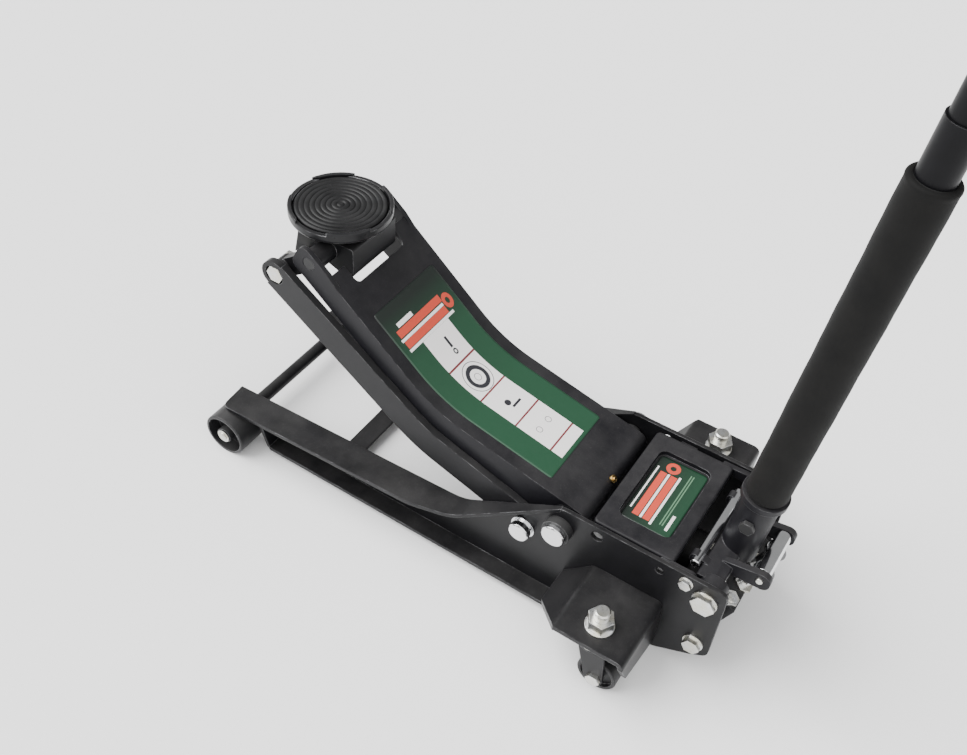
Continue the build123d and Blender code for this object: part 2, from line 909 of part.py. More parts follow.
def filler_plug():
    """Screwed into the top of the barrel."""
    plug_x = block_front - 24.0
    foot = ram_z + barrel_radius - 1.0
    with BuildPart() as plug:
        rod_on(Plane((plug_x, 0, foot)), 8.0, 5.0)
        rod_on(Plane((plug_x, 0, foot + 5)), 10.0, 2.0)
        with BuildSketch(Plane((plug_x, 0, foot + 7))):
            RegularPolygon(7, 6, major_radius=False)
        extrude(amount=5)
        rod_on(along_ram(plug_x - 20), barrel_radius, 40, mode=Mode.SUBTRACT)
    return plug


valve_origin = (block_front + 14.0, 0, 70.0)


def release_valve():
    with BuildPart() as valve:
        rod_on(Plane(valve_origin).offset(0.5), 5.0, block_top + 3 - valve_origin[2])
        with Locations((valve_origin[0], 0, block_top + 3)):
            Box(10, 3, 5, align=(Align.CENTER, Align.CENTER, Align.MIN), mode=Mode.SUBTRACT)
            Box(10, 3, 4, align=(Align.CENTER, Align.CENTER, Align.MAX), mode=Mode.SUBTRACT)
    return valve


def plunger():
    with BuildPart() as rod:
        rod_on(
            on_plunger(mouth_depth + 20, -plunger_spacing / 2),
            plunger_radius,
            mouth_depth + 20 - plunger_top - 6,
        )
    return rod


def plunger_head():
    with BuildPart() as head:
        rod_on(on_plunger(plunger_top + 6, -plunger_spacing / 2), 13.0, 6.0)
        fillet(head.edges().filter_by(GeomType.CIRCLE), 1.2)
    return head


def plunger_gland():
    base = on_plunger(mouth_depth, -plunger_spacing / 2)
    with BuildPart() as gland:
        with BuildSketch(base):
            RegularPolygon(10.5, 6, major_radius=False)
        extrude(amount=3.6)
        rod_on(base.offset(-1), plunger_radius + running, 8, mode=Mode.SUBTRACT)
    return gland


def relief_plug():
    """The overload valve's cap beside the near plunger."""
    base = on_plunger(mouth_depth, -46.0, 0.0)
    with BuildPart() as plug:
        with BuildSketch(base):
            RegularPolygon(8.5, 6, major_radius=False)
        extrude(amount=4.5)
        rod_on(base.offset(4.5), 6.0, 1.5)
    return plug


def block_bolt():
    with BuildPart() as bolt:
        rod_y(tie_x, tie_z, -web_out, -web_out - 2, 12.0)
        hex_y(tie_x, tie_z, -web_out - 2, -web_out - 9, 18.0)
        rod_y(tie_x, tie_z, -web_out, -web_in + 20, 6.0)
    return bolt


# ---- pump cover --------------------------------------------------------------------------
cover_sheet = 2.5
recess_depth = 6.0


def pump_cover():
    skirt = 10.0
    recess_front = cover_front + 17.0
    recess_back = cover_back - 16.0
    recess_half = 57.0
    floor_z = cover_top - recess_depth

    def tray(inset, bottom, top, mode):
        slab_z(
            [
                (recess_front + inset, -recess_half + inset, 10 - inset),
                (recess_back - inset, -recess_half + inset, 10 - inset),
                (recess_back - inset, recess_half - inset, 10 - inset),
                (recess_front + inset, recess_half - inset, 10 - inset),
            ],
            bottom,
            top,
            mode,
        )

    with BuildPart() as cover:
        with Locations(((cover_front + cover_back) / 2, 0, cover_top)):
            Box(
                cover_back - cover_front,
                2 * cover_half,
                skirt,
                align=(Align.CENTER, Align.CENTER, Align.MAX),
            )
        fillet(cover.edges().filter_by(Axis.Z), 6)
        fillet(cover.faces().sort_by(Axis.Z)[-1].edges(), 3)
        with Locations(((cover_front + cover_back) / 2, 0, cover_top - cover_sheet)):
            Box(
                cover_back - cover_front - 2 * cover_sheet,
                2 * (cover_half - cover_sheet),
                skirt,
                align=(Align.CENTER, Align.CENTER, Align.MAX),
                mode=Mode.SUBTRACT,
            )
        tray(-cover_sheet, floor_z - cover_sheet, cover_top - cover_sheet / 2, Mode.ADD)
        tray(0, floor_z, cover_top + 1, Mode.SUBTRACT)
        for side in (-1, 1):
            slab_y(
                [
                    (cover_back - 14, cover_top - skirt, 0),
                    (small_bolt_x + 6, small_bolt_z - 8, 6),
                    (small_bolt_x + 6, small_bolt_z + 8, 6),
                    (cover_back - 14, cover_top - 2, 0),
                ],
                side * (cover_half - cover_sheet),
                side * web_in,
            )
            slab_y(
                [
                    (cover_front + 30, cover_top - skirt, 0),
                    (cover_front + 50, cover_top - skirt, 0),
                    (cover_front + 50, cover_top - 4, 0),
                    (cover_front + 30, cover_top - 4, 0),
                ],
                side * (cover_half - cover_sheet),
                side * web_in,
            )
            rod_y(
                small_bolt_x,
                small_bolt_z,
                side * (web_in - 12),
                side * web_in,
                4.0,
                mode=Mode.SUBTRACT,
            )
    return cover


def cover_bolt():
    with BuildPart() as bolt:
        rod_y(small_bolt_x, small_bolt_z, -web_out, -web_out - 1.2, 8.0)
        hex_y(small_bolt_x, small_bolt_z, -web_out - 1.2, -web_out - 6.2, 12.5)
        rod_y(small_bolt_x, small_bolt_z, -web_out, -cover_half + cover_sheet, 4.0)
    return bolt


# ---- handle yoke -------------------------------------------------------------------------
handle_up = Vector(sin(lean), 0, cos(lean))


def on_handle(distance):
    """A plane across the handle at a distance from its pivot."""
    return Plane(origin=Vector(hinge_x, 0, hinge_z) + handle_up * distance, x_dir=(0, 1, 0), z_dir=handle_up)


tube_foot = 14.0
groove_at = 60.0
shaft_x = hinge_x - 28.0
shaft_z = hinge_z + 11.0


def handle_yoke():
    bar_end = 64.0
    with BuildPart() as yoke:
        slab_y(
            [
                (hinge_x - 21.5, hinge_z - 1, 3),
                (hinge_x + 8, hinge_z - 6, 3),
                (hinge_x + 8, hinge_z + 8, 3),
                (hinge_x - 3, hinge_z + 11, 3),
                (hinge_x - 21.5, hinge_z + 11, 3),
            ],
            -bar_end - 6,
            bar_end + 6,
        )
        for side in (-1, 1):
            rod_y(hinge_x, hinge_z, side * bar_end, side * yoke_out, 16.0)
            slab_y(
                [
                    (shaft_x - 9, shaft_z - 9, 6),
                    (hinge_x - 14, hinge_z + 0.5, 0),
                    (hinge_x - 14, hinge_z + 10.5, 0),
                    (shaft_x - 9, shaft_z + 9, 6),
                ],
                side * 44,
                side * 54,
            )
            slab_y(
                [
                    (hinge_x - 6, hinge_z - 4, 4),
                    (roller_x + 12, roller_z - 13, 10),
                    (roller_x + 12, roller_z + 11, 10),
                    (hinge_x - 6, hinge_z + 12, 4),
                ],
                side * (roller_half + side_gap),
                side * (roller_half + side_gap + 8),
            )
        rod_on(on_handle(-4), socket_radius, socket_length + 4 - 8)
        rod_on(on_handle(socket_length - 8), 26.0, 8.0)
        rod_on(on_handle(tube_foot - 1), tube_radius + running, socket_length, mode=Mode.SUBTRACT)
        for side in (-1, 1):
            rod_y(
                hinge_x,
                hinge_z,
                side * (bar_end - 12),
                side * (yoke_out + 1),
                handle_bolt_radius + running,
                mode=Mode.SUBTRACT,
            )
        rod_y(shaft_x, shaft_z, -60, 60, 5.5, mode=Mode.SUBTRACT)
        rod_y(roller_x, roller_z, -60, 60, 4.0, mode=Mode.SUBTRACT)
        with Locations(screw_plane()):
            Cylinder(4.0, 40, mode=Mode.SUBTRACT)
    return yoke


def screw_plane():
    """Faces the near side, on the socket where the retaining screw goes in."""
    foot = on_handle(groove_at).origin - Vector(0, socket_radius, 0)
    return Plane(origin=foot, x_dir=(1, 0, 0), z_dir=(0, -1, 0))


def handle_screw():
    with BuildPart() as screw:
        rod_on(screw_plane().offset(tube_radius - 0.7 - socket_radius), 4.0, socket_radius - tube_radius + 0.7)
        with BuildSketch(screw_plane()):
            RegularPolygon(7.5, 6, major_radius=False)
        extrude(amount=5.5)
    return screw


def handle_pivot_bolt():
    with BuildPart() as bolt:
        rod_y(hinge_x, hinge_z, -web_out, -web_out - 2, 14.5)
        hex_y(hinge_x, hinge_z, -web_out - 2, -web_out - 9, 24.0)
        rod_y(hinge_x, hinge_z, -web_out, -56, handle_bolt_radius)
    return bolt


def yoke_cross_shaft():
    with BuildPart() as shaft:
        rod_y(shaft_x, shaft_z, -61, 61, 5.5)
        chamfer(shaft.faces().filter_by(Axis.Y).edges(), 1.0)
    return shaft


def roller_pin():
    reach = roller_half + side_gap + 8 + 3
    with BuildPart() as pin:
        rod_y(roller_x, roller_z, -reach, reach, 4.0)
        chamfer(pin.faces().filter_by(Axis.Y).edges(), 0.8)
    return pin


def yoke_roller():
    with BuildPart() as roller:
        rod_y(roller_x, roller_z, -roller_half, roller_half, roller_radius)
        rod_y(roller_x, roller_z, -roller_half, roller_half, 4.0 + running, mode=Mode.SUBTRACT)
    return roller


# ---- handle -------------------------------------------------------------------------------
overlap = 90.0              # upper tube inside the lower tube
button_at = lower_tube_end - 28.0
button_radius = 4.5


def at_button():
    foot = on_handle(button_at).origin
    return Plane(origin=foot, x_dir=(1, 0, 0), z_dir=(0, 1, 0))


def lower_tube():
    with BuildPart() as tube:
        rod_on(on_handle(tube_foot), tube_radius, lower_tube_end - tube_foot)
        rod_on(on_handle(tube_foot - 1), tube_radius - tube_wall, handle_length, mode=Mode.SUBTRACT)
        rod_on(at_button(), button_radius + running, 30, mode=Mode.SUBTRACT)
        with BuildSketch(on_handle(groove_at - 4.5)):
            Circle(tube_radius + 1)
            Circle(tube_radius - 1.2, mode=Mode.SUBTRACT)
        extrude(amount=9, mode=Mode.SUBTRACT)
    return tube


def upper_tube():
    with BuildPart() as tube:
        rod_on(on_handle(lower_tube_end - overlap), upper_radius, handle_length - lower_tube_end + overlap - 3)
        rod_on(
            on_handle(lower_tube_end - overlap - 1),
            upper_radius - upper_wall,
            handle_length,
            mode=Mode.SUBTRACT,
        )
        rod_on(at_button(), button_radius + running, 30, mode=Mode.SUBTRACT)
    return tube


def snap_button():
    with BuildPart() as button:
        rod_on(at_button().offset(upper_radius - upper_wall - 3), button_radius, 3 + upper_wall + 4.6)
        fillet(button.faces().sort_by(Axis.Y)[-1].edges(), 2.0)
    return button


def foam_sleeve():
    with BuildPart() as sleeve:
        rod_on(on_handle(socket_length + 0.5), sleeve_radius, sleeve_length)
        fillet(sleeve.edges().filter_by(GeomType.CIRCLE), 2.5)
        rod_on(on_handle(socket_length), tube_radius, sleeve_length + 1, mode=Mode.SUBTRACT)
    return sleeve


def hand_grip():
    end = 3.0
    with BuildPart() as grip:
        rod_on(on_handle(handle_length - grip_length), grip_radius, grip_length)
        rod_on(on_handle(handle_length - grip_length), grip_radius + 2.5, 4)
        rod_on(on_handle(handle_length - grip_length - 1), upper_radius, grip_length + 1 - end, mode=Mode.SUBTRACT)
    return grip


# ---- write one file for each node -----------------------------------------------------------
os.makedirs("parts", exist_ok=True)

singles = [
    front_cross_rod,
    front_cross_bar,
    main_shaft,
    lift_arm,
    arm_pivot_tube,
    grease_nipple,
    arm_lever,
    lift_pin,
    arm_pin,
    saddle_bracket,
    saddle_cup,
    saddle_screw,
    saddle_pad,
    pump_block,
    hydraulic_barrel,
    ram_rod,
    ram_head,
    filler_plug,
    release_valve,
    relief_plug,
    pump_cover,
    handle_yoke,
    handle_screw,
    yoke_cross_shaft,
    roller_pin,
    yoke_roller,
    lower_tube,
    upper_tube,
    snap_button,
    foam_sleeve,
    hand_grip,
]
for make in singles:
    save(make(), make.__name__)

left_and_right = [side_frame, caster_bracket, caster_fork, caster_axle, caster_wheel, front_wheel, parallel_link]
for make in left_and_right:
    near = make()
    save(near, f"{make.__name__}_left")
    save(far_of(near), f"{make.__name__}_right")

fasteners = [
    caster_stud,
    caster_nut,
    caster_race,
    wheel_spindle,
    spindle_clip,
    main_shaft_cap,
    link_pivot_bolt,
    link_pin,
    link_pin_nut,
    plunger,
    plunger_head,
    plunger_gland,
    block_bolt,
    cover_bolt,
    handle_pivot_bolt,
]
for make in fasteners:
    save(pair_of(make()), f"{make.__name__}s")

print(f"saddle {saddle_top:.1f} high, centre at x {saddle_x:.1f}")
print(f"main pivot {main_x:.2f} {main_z:.2f}, arm pin {pin_x:.2f} {pin_z:.2f}")
print(f"link pivot {link_x:.2f} {link_z:.2f}, link pin {link_pin_x:.2f} {link_pin_z:.2f}")
print(f"handle pivot {hinge_x:.2f} {hinge_z:.2f}, roller {roller_x:.2f} {roller_z:.2f}")
print(f"front axle {axle_x:.2f}, caster {caster_x:.2f} {caster_y:.2f}, ram {ram_z:.2f}")
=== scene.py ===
import json
import math
import bmesh
import bpy
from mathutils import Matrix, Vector
from mathutils.bvhtree import BVHTree


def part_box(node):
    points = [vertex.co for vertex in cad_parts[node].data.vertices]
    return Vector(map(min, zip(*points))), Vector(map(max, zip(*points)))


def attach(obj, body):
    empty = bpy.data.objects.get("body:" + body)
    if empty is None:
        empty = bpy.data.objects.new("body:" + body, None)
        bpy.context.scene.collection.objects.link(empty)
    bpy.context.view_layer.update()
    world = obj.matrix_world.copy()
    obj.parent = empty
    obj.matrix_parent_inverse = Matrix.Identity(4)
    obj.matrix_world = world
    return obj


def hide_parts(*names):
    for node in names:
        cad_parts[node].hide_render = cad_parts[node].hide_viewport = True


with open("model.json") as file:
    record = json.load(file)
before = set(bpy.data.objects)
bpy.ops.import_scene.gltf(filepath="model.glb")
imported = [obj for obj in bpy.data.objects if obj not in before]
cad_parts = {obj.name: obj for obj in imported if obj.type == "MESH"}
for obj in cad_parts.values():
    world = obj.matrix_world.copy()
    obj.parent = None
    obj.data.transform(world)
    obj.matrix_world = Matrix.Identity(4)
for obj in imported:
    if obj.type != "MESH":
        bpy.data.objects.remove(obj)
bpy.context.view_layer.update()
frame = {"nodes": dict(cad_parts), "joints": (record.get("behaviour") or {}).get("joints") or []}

# ---- view, light and floor --------------------------------------------------------------
# The jack stands on a plain white floor. Two very soft suns light it evenly, from the left
# and from the handle side, so that hardly a shadow shows, and the room adds a weak white glow.
wheel_low, wheel_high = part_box("front_wheel_left")
axle = Vector(((wheel_low.x + wheel_high.x) / 2, 0, (wheel_low.z + wheel_high.z) / 2))
azimuth, elevation, roll = math.radians(29.44), math.radians(45.03), math.radians(4.72)
distance = 1.48684
aim = Vector((axle.x + 0.23014, 0.12099, 0.06))
back = Vector((
    math.sin(azimuth) * math.cos(elevation),
    -math.cos(azimuth) * math.cos(elevation),
    math.sin(elevation),
))
level_right = Vector((0, 0, 1)).cross(back).normalized()
level_up = back.cross(level_right)
right = level_right * math.cos(roll) + level_up * math.sin(roll)
up = level_up * math.cos(roll) - level_right * math.sin(roll)
camera = bpy.data.objects.new("camera", bpy.data.cameras.new("camera"))
bpy.context.scene.collection.objects.link(camera)
camera.data.sensor_width = 36.0
camera.data.lens = 40.95
camera.data.clip_start, camera.data.clip_end = 0.05, 60.0
turn = camera.matrix_world.copy()
for row in range(3):
    turn[row][0], turn[row][1], turn[row][2] = right[row], up[row], back[row]
    turn[row][3] = (aim + back * distance)[row]
camera.matrix_world = turn
bpy.context.scene.camera = camera


def soft_sun(name, place, strength, spread):
    """A sun that shines from this side towards the jack; spread is its width in degrees."""
    light = bpy.data.lights.new(name, "SUN")
    light.energy, light.angle = strength, math.radians(spread)
    holder = bpy.data.objects.new(name, light)
    bpy.context.scene.collection.objects.link(holder)
    holder.rotation_euler = (-Vector(place)).to_track_quat("-Z", "Y").to_euler()


soft_sun("key_sun", (-1.7, -0.7, 2.0), 6.6, 60)
soft_sun("fill_sun", (1.5, -1.2, 2.2), 2.8, 90)

world = bpy.data.worlds.new("room")
bpy.context.scene.world = world
world.use_nodes = True
world.node_tree.nodes["Background"].inputs["Color"].default_value = (1.0, 1.0, 1.0, 1)
world.node_tree.nodes["Background"].inputs["Strength"].default_value = 0.38

floor_mesh = bpy.data.meshes.new("floor")
reach = 9.0
floor_corners = [(-reach, -reach, 0), (reach, -reach, 0), (reach, reach, 0), (-reach, reach, 0)]
floor_mesh.from_pydata(floor_corners, [], [(0, 1, 2, 3)])
floor = bpy.data.objects.new("floor", floor_mesh)
bpy.context.scene.collection.objects.link(floor)
floor_paint = bpy.data.materials.new("floor_paint")
floor_paint.use_nodes = True
floor_shader = floor_paint.node_tree.nodes["Principled BSDF"]
floor_shader.inputs["Base Color"].default_value = (0.9, 0.9, 0.9, 1)
floor_shader.inputs["Roughness"].default_value = 0.75
floor_shader.inputs["Specular IOR Level"].default_value = 0.2
floor_mesh.materials.append(floor_paint)

# ---- side frames, brackets and cross members ----------------------------------------------
# Pressed and welded 5 mm steel sheet under satin black powder coat. The coat has a fine
# orange-peel grain, wears bright on sharp edges, and gathers a little dust where it faces up.


def tree_of(group_name, inputs, outputs):
    """A shader node group with named float inputs and named outputs."""
    group = bpy.data.node_groups.new(group_name, "ShaderNodeTree")
    for name, value in inputs.items():
        socket = group.interface.new_socket(name, in_out="INPUT", socket_type="NodeSocketFloat")
        socket.default_value = value
    for name, kind in outputs.items():
        group.interface.new_socket(name, in_out="OUTPUT", socket_type=kind)
    return group, group.nodes.new("NodeGroupInput"), group.nodes.new("NodeGroupOutput")


def maths(tree, operation, first, second=None, clamp=False):
    """A Math node; each operand is a socket or a number."""
    node = tree.nodes.new("ShaderNodeMath")
    node.operation, node.use_clamp = operation, clamp
    for index, operand in enumerate([first, second]):
        if operand is None:
            continue
        if isinstance(operand, (int, float)):
            node.inputs[index].default_value = operand
        else:
            tree.links.new(operand, node.inputs[index])
    return node.outputs[0]


def noise(tree, coordinates, scale, detail=3.0, roughness=0.55, stretch=(1, 1, 1)):
    """A Noise Texture on Object coordinates; stretch turns it into streaks."""
    mapping = tree.nodes.new("ShaderNodeMapping")
    mapping.inputs["Scale"].default_value = stretch
    tree.links.new(coordinates, mapping.inputs["Vector"])
    node = tree.nodes.new("ShaderNodeTexNoise")
    if isinstance(scale, (int, float)):
        node.inputs["Scale"].default_value = scale
    else:
        tree.links.new(scale, node.inputs["Scale"])
    node.inputs["Detail"].default_value = detail
    node.inputs["Roughness"].default_value = roughness
    tree.links.new(mapping.outputs["Vector"], node.inputs["Vector"])
    return node.outputs["Fac"]


def ramp(tree, value, low, high):
    """0 below low, 1 above high, straight between."""
    node = tree.nodes.new("ShaderNodeMapRange")
    node.inputs["From Min"].default_value = low
    node.inputs["From Max"].default_value = high
    tree.links.new(value, node.inputs["Value"])
    return node.outputs["Result"]


def edge_wear_group():
    """A mask of the sharp edges, broken up by noise, and a normal that rounds them."""
    group, given, result = tree_of(
        "edge_wear",
        {"Radius": 0.0012, "Amount": 0.5},
        {"Edge": "NodeSocketFloat", "Normal": "NodeSocketVector"},
    )
    bevel = group.nodes.new("ShaderNodeBevel")
    bevel.samples = 6
    group.links.new(given.outputs["Radius"], bevel.inputs["Radius"])
    flat = group.nodes.new("ShaderNodeNewGeometry")
    dot = group.nodes.new("ShaderNodeVectorMath")
    dot.operation = "DOT_PRODUCT"
    group.links.new(bevel.outputs["Normal"], dot.inputs[0])
    group.links.new(flat.outputs["Normal"], dot.inputs[1])
    bend = ramp(group, maths(group, "SUBTRACT", 1.0, dot.outputs["Value"]), 0.03, 0.22)
    place = group.nodes.new("ShaderNodeTexCoord").outputs["Object"]
    patches = ramp(group, noise(group, place, 42.0, 5.0, 0.7), 0.45, 0.62)
    broken = maths(group, "MULTIPLY", bend, patches)
    worn = maths(group, "MULTIPLY", broken, given.outputs["Amount"], clamp=True)
    group.links.new(worn, result.inputs["Edge"])
    group.links.new(bevel.outputs["Normal"], result.inputs["Normal"])
    return group


def dust_group():
    """A mask of fine dust on surfaces that face up."""
    group, given, result = tree_of("dust", {"Amount": 0.3}, {"Dust": "NodeSocketFloat"})
    flat = group.nodes.new("ShaderNodeNewGeometry")
    split = group.nodes.new("ShaderNodeSeparateXYZ")
    group.links.new(flat.outputs["Normal"], split.inputs["Vector"])
    upward = ramp(group, split.outputs["Z"], 0.35, 1.0)
    place = group.nodes.new("ShaderNodeTexCoord").outputs["Object"]
    cloud = ramp(group, noise(group, place, 14.0, 6.0, 0.65), 0.3, 0.75)
    specks = ramp(group, noise(group, place, 900.0, 2.0, 0.5), 0.62, 0.72)
    both = maths(group, "ADD", maths(group, "MULTIPLY", cloud, 0.7), maths(group, "MULTIPLY", specks, 0.5))
    settled = maths(group, "MULTIPLY", both, upward)
    amount = maths(group, "MULTIPLY", settled, given.outputs["Amount"], clamp=True)
    group.links.new(amount, result.inputs["Dust"])
    return group


def grain_group():
    """The small lumps of a sprayed coat or a cast skin, as a height."""
    group, given, result = tree_of(
        "grain", {"Scale": 900.0}, {"Height": "NodeSocketFloat", "Tone": "NodeSocketFloat"}
    )
    place = group.nodes.new("ShaderNodeTexCoord").outputs["Object"]
    fine = noise(group, place, given.outputs["Scale"], 2.0, 0.5)
    broad = noise(group, place, 30.0, 4.0, 0.6)
    group.links.new(fine, result.inputs["Height"])
    group.links.new(broad, result.inputs["Tone"])
    return group


edge_wear, dust, grain = edge_wear_group(), dust_group(), grain_group()


def use_group(tree, group, **values):
    node = tree.nodes.new("ShaderNodeGroup")
    node.node_tree = group
    for name, value in values.items():
        node.inputs[name].default_value = value
    return node.outputs


def blend_colour(tree, mask, first, second):
    """first where the mask is 0 and second where it is 1; each is a colour or a socket."""
    node = tree.nodes.new("ShaderNodeMix")
    node.data_type = "RGBA"
    tree.links.new(mask, node.inputs["Factor"])
    for socket, colour in ((node.inputs[6], first), (node.inputs[7], second)):
        if isinstance(colour, tuple):
            socket.default_value = (*colour, 1)
        else:
            tree.links.new(colour, socket)
    return node.outputs[2]


def bumped(tree, height, normal, strength, depth):
    node = tree.nodes.new("ShaderNodeBump")
    node.inputs["Strength"].default_value = strength
    node.inputs["Distance"].default_value = depth
    tree.links.new(height, node.inputs["Height"])
    if normal is not None:
        tree.links.new(normal, node.inputs["Normal"])
    return node.outputs["Normal"]


def new_material(name):
    material = bpy.data.materials.new(name)
    material.use_nodes = True
    return material, material.node_tree, material.node_tree.nodes["Principled BSDF"]


def sprayed(name, colour, shade, roughness, wear, dusty, edge_radius=0.0014, grain_scale=900.0):
    """Black coat on steel: colour varies to shade, and wears to bare steel on the edges."""
    bare_steel = (0.30, 0.30, 0.31)
    material, tree, shader = new_material(name)
    lumps = use_group(tree, grain, Scale=grain_scale)
    worn = use_group(tree, edge_wear, Radius=edge_radius, Amount=wear)
    settled = use_group(tree, dust, Amount=dusty)
    tone = ramp(tree, lumps["Tone"], 0.35, 0.65)
    coat = blend_colour(tree, tone, colour, shade)
    dusted = blend_colour(tree, settled["Dust"], coat, (0.16, 0.155, 0.15))
    tree.links.new(blend_colour(tree, worn["Edge"], dusted, bare_steel), shader.inputs["Base Color"])
    dull = maths(tree, "ADD", maths(tree, "MULTIPLY", lumps["Height"], 0.14), roughness - 0.07)
    duller = maths(tree, "ADD", dull, maths(tree, "MULTIPLY", settled["Dust"], 0.5), clamp=True)
    tree.links.new(duller, shader.inputs["Roughness"])
    tree.links.new(maths(tree, "MULTIPLY", worn["Edge"], 0.8), shader.inputs["Metallic"])
    tree.links.new(bumped(tree, lumps["Height"], worn["Normal"], 0.12, 0.00025), shader.inputs["Normal"])
    shader.inputs["Specular IOR Level"].default_value = 0.2
    return material


def finish_nodes(material, *names):
    """Gives CAD nodes their material."""
    for name in names:
        mesh = frame["nodes"][name].data
        mesh.materials.clear()
        mesh.materials.append(material)


frame_coat = sprayed("frame_coat", (0.0055, 0.0055, 0.0062), (0.008, 0.0078, 0.009), 0.36, 0.6, 0.2)
finish_nodes(
    frame_coat,
    "side_frame_left",
    "side_frame_right",
    "caster_bracket_left",
    "caster_bracket_right",
    "front_cross_rod",
    "front_cross_bar",
    "caster_fork_left",
    "caster_fork_right",
)

# ---- lift arm, links, saddle bracket, pump cover and yoke -------------------------------------
# The arm is a folded channel with a welded pivot tube; the links are flame-cut bar. Their
# coat is the frame's, a shade lighter, and duller on the arm, with worn corners.
arm_coat = sprayed("arm_coat", (0.0065, 0.0063, 0.008), (0.009, 0.0087, 0.0108), 0.42, 0.5, 0.22)
finish_nodes(arm_coat, "lift_arm", "arm_pivot_tube", "arm_lever", "pump_cover", "handle_yoke")
link_coat = sprayed("link_coat", (0.007, 0.007, 0.0078), (0.010, 0.0098, 0.011), 0.38, 0.7, 0.2)
finish_nodes(link_coat, "parallel_link_left", "parallel_link_right", "saddle_bracket")

# ---- saddle cup -------------------------------------------------------------------------------
# A cast cup with four raised lugs on its rim. Its black enamel is glossier than the powder
# coat and has worn to grey iron along its edges.
cup_enamel = sprayed(
    "cup_enamel", (0.008, 0.008, 0.009), (0.013, 0.013, 0.014), 0.3, 1.0, 0.15, 0.0016, 260.0
)
finish_nodes(cup_enamel, "saddle_cup")

# ---- saddle pad -------------------------------------------------------------------------------
# A moulded rubber disc pressed into the cup, with concentric ridges on top that keep a
# car's sill from slipping. Dull black, paler in patches where it has rubbed.
pad_low, pad_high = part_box("saddle_pad")
pad_centre = Vector(((pad_low.x + pad_high.x) / 2, (pad_low.y + pad_high.y) / 2, 0))
pad_radius = (pad_high.x - pad_low.x) / 2
ridge_pitch = 0.0062
ridge_height = 0.0013


def lathe(name, profile, centre, axis=Vector((0, 0, 1)), steps=96):
    """A closed solid turned from (radius, height) points about an axis through centre."""
    side = axis.orthogonal().normalized()
    other = axis.cross(side)
    mesh = bmesh.new()
    rings = []
    for radius, height in profile:
        if radius < 1e-7:
            rings.append([mesh.verts.new(centre + axis * height)])
            continue
        rings.append([
            mesh.verts.new(
                centre
                + axis * height
                + (side * math.cos(math.tau * i / steps) + other * math.sin(math.tau * i / steps)) * radius
            )
            for i in range(steps)
        ])
    for ring, following in zip(rings, rings[1:]):
        for i in range(steps):
            corners = [ring[i % len(ring)], ring[(i + 1) % len(ring)]]
            corners += [following[(i + 1) % len(following)], following[i % len(following)]]
            distinct = list(dict.fromkeys(corners))
            if len(distinct) > 2:
                mesh.faces.new(distinct)
    bmesh.ops.recalc_face_normals(mesh, faces=mesh.faces)
    for face in mesh.faces:
        face.smooth = True
    data = bpy.data.meshes.new(name)
    mesh.to_mesh(data)
    mesh.free()
    piece = bpy.data.objects.new(name, data)
    bpy.context.scene.collection.objects.link(piece)
    return piece


pad_profile = [(0.0, pad_low.z), (pad_radius - 0.0008, pad_low.z), (pad_radius, pad_low.z + 0.0012)]
pad_profile += [(pad_radius, pad_high.z - 0.0022), (pad_radius - 0.0012, pad_high.z - 0.0008)]
samples = 220
ridge_start = pad_radius - 0.003
for i in range(samples):
    radius = ridge_start * (1 - i / samples)
    wave = 0.5 + 0.5 * math.cos(math.tau * (ridge_start - radius) / ridge_pitch)
    pad_profile.append((radius, pad_high.z - ridge_height * (1 - wave ** 0.25)))
pad_profile.append((0.0, pad_high.z - ridge_height * 0.4))
pad = lathe("ringed_pad", pad_profile, pad_centre, steps=128)


def moulded_rubber(name, colour, rubbed, roughness, scale=700.0):
    """Dull black rubber with a fine skin, paler where it has rubbed."""
    material, tree, shader = new_material(name)
    lumps = use_group(tree, grain, Scale=scale)
    settled = use_group(tree, dust, Amount=0.35)
    tone = ramp(tree, lumps["Tone"], 0.35, 0.7)
    skin = blend_colour(tree, tone, colour, rubbed)
    tree.links.new(blend_colour(tree, settled["Dust"], skin, (0.1, 0.1, 0.1)), shader.inputs["Base Color"])
    rough = maths(tree, "ADD", maths(tree, "MULTIPLY", lumps["Height"], 0.2), roughness - 0.1)
    tree.links.new(rough, shader.inputs["Roughness"])
    tree.links.new(bumped(tree, lumps["Height"], None, 0.25, 0.0003), shader.inputs["Normal"])
    shader.inputs["Specular IOR Level"].default_value = 0.16
    return material


pad_rubber = moulded_rubber("pad_rubber", (0.003, 0.003, 0.0034), (0.005, 0.005, 0.0054), 0.38)
pad.data.materials.append(pad_rubber)
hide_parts("saddle_pad")
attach(pad, "saddle")

# ---- nuts, bolts and other plated steel --------------------------------------------------------
# Bright zinc plate with a faint yellow passivate cast, brighter on the worn corners. The
# hidden pins and the handle's screw are black oxide, and the shafts and plungers are chrome.


def plated(name, colour, cast, roughness, wear=0.0):
    material, tree, shader = new_material(name)
    place = tree.nodes.new("ShaderNodeTexCoord").outputs["Object"]
    cloud = ramp(tree, noise(tree, place, 70.0, 4.0, 0.6), 0.35, 0.65)
    streak = noise(tree, place, 260.0, 3.0, 0.6, stretch=(1, 1, 6))
    worn = use_group(tree, edge_wear, Radius=0.0008, Amount=wear)
    tone = blend_colour(tree, cloud, colour, cast)
    tree.links.new(blend_colour(tree, worn["Edge"], tone, (0.85, 0.85, 0.83)), shader.inputs["Base Color"])
    rough = maths(tree, "ADD", maths(tree, "MULTIPLY", streak, 0.22), roughness - 0.11)
    tree.links.new(rough, shader.inputs["Roughness"])
    tree.links.new(bumped(tree, streak, worn["Normal"], 0.08, 0.0002), shader.inputs["Normal"])
    shader.inputs["Metallic"].default_value = 1.0
    return material


